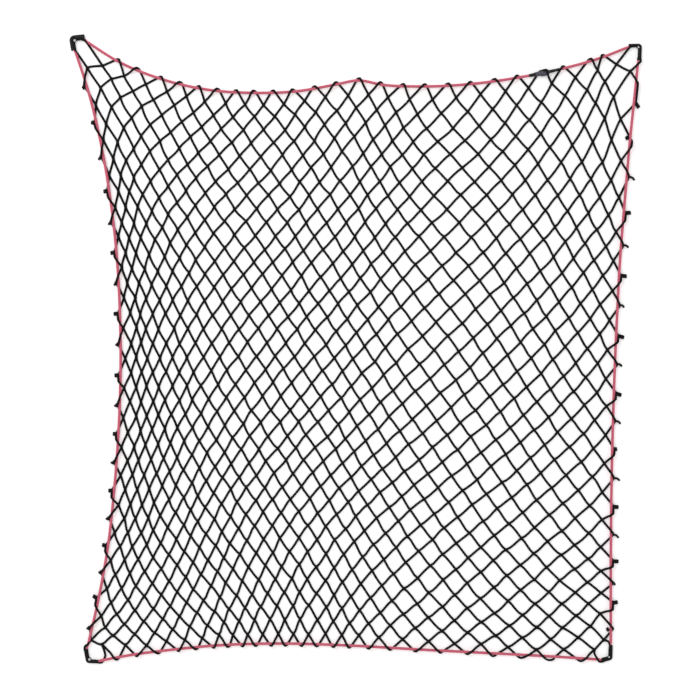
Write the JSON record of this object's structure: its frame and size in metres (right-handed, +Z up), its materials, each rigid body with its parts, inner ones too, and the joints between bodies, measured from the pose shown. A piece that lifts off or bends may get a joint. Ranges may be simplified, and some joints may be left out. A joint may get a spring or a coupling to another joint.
{
  "type": "cargo net",
  "caption": "Flat diamond-mesh twine net on a red border cord, with sleeved corners, a taped splice and knotted side ties, laid out ready to hook over a load.",
  "frame": {"origin": "middle of the outline in plan, on the plane that the net lies on", "axes": "+Z up out of the laid-out net, +Y towards its top edge (the one with the splice), +X to the right seen from above"},
  "size_m": [1.425, 1.5677, 0.0181],
  "materials": {
    "twine_black": "matt braided twine",
    "cord_red": "braided cord",
    "sleeve_black": "satin",
    "tape_charcoal": "satin wrapped tape"
  },
  "bodies": {
    "root": {"border_cord": "cord_red", "corner_sleeve_bottom_left": "sleeve_black", "corner_sleeve_bottom_right": "sleeve_black", "corner_sleeve_top_left": "sleeve_black", "corner_sleeve_top_right": "sleeve_black", "edge_knot_left_01": "twine_black", "edge_knot_left_02": "twine_black", "edge_knot_left_03": "twine_black", "edge_knot_left_04": "twine_black", "edge_knot_left_05": "twine_black", "edge_knot_left_06": "twine_black", "edge_knot_left_07": "twine_black", "edge_knot_left_08": "twine_black", "edge_knot_left_09": "twine_black", "edge_knot_left_10": "twine_black", "edge_knot_left_11": "twine_black", "edge_knot_left_12": "twine_black", "edge_knot_left_13": "twine_black", "edge_knot_left_14": "twine_black", "edge_knot_left_15": "twine_black", "edge_knot_left_16": "twine_black", "edge_knot_left_17": "twine_black", "edge_knot_left_18": "twine_black", "edge_knot_left_19": "twine_black", "edge_knot_right_01": "twine_black", "edge_knot_right_02": "twine_black", "edge_knot_right_03": "twine_black", "edge_knot_right_04": "twine_black", "edge_knot_right_05": "twine_black", "edge_knot_right_06": "twine_black", "edge_knot_right_07": "twine_black", "edge_knot_right_08": "twine_black", "edge_knot_right_09": "twine_black", "edge_knot_right_10": "twine_black", "edge_knot_right_11": "twine_black", "edge_knot_right_12": "twine_black", "edge_knot_right_13": "twine_black", "edge_knot_right_14": "twine_black", "edge_knot_right_15": "twine_black", "edge_knot_right_16": "twine_black", "edge_knot_right_17": "twine_black", "edge_knot_right_18": "twine_black", "edge_knot_right_19": "twine_black", "netting": "twine_black", "splice_sleeve": "tape_charcoal"}
  },
  "joints": []
}
